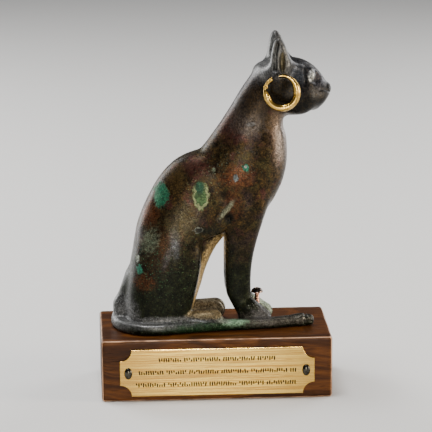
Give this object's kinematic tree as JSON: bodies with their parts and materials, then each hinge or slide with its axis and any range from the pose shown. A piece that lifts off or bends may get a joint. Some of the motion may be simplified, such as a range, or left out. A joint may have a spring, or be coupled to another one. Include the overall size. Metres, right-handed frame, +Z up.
{
  "type": "bastet cat figure",
  "caption": "Seated cast bronze cat with upright ears, a gold hoop in one ear and its tail laid forward, on a hardwood block with a notched brass plaque.",
  "frame": {"origin": "centre of the underside of the hardwood block", "axes": "+X the way the cat looks, +Y the cat's left, +Z up; the plaque faces -Y"},
  "size_m": [0.1258, 0.0648, 0.1931],
  "materials": {
    "bronze": "patinated bronze, dark olive and red-brown with green patches",
    "gold": "polished gold",
    "screw_metal": "worn copper-coloured metal",
    "hardwood": "satin walnut, grain along its length",
    "brass": "brushed along its length",
    "pin_metal": "dark burnished bronze"
  },
  "bodies": {
    "root": {"cat": "bronze", "earring": "gold", "mount_screw": "screw_metal", "base": "hardwood", "plaque": "brass", "pin_left": "pin_metal", "pin_right": "pin_metal"}
  },
  "joints": []
}
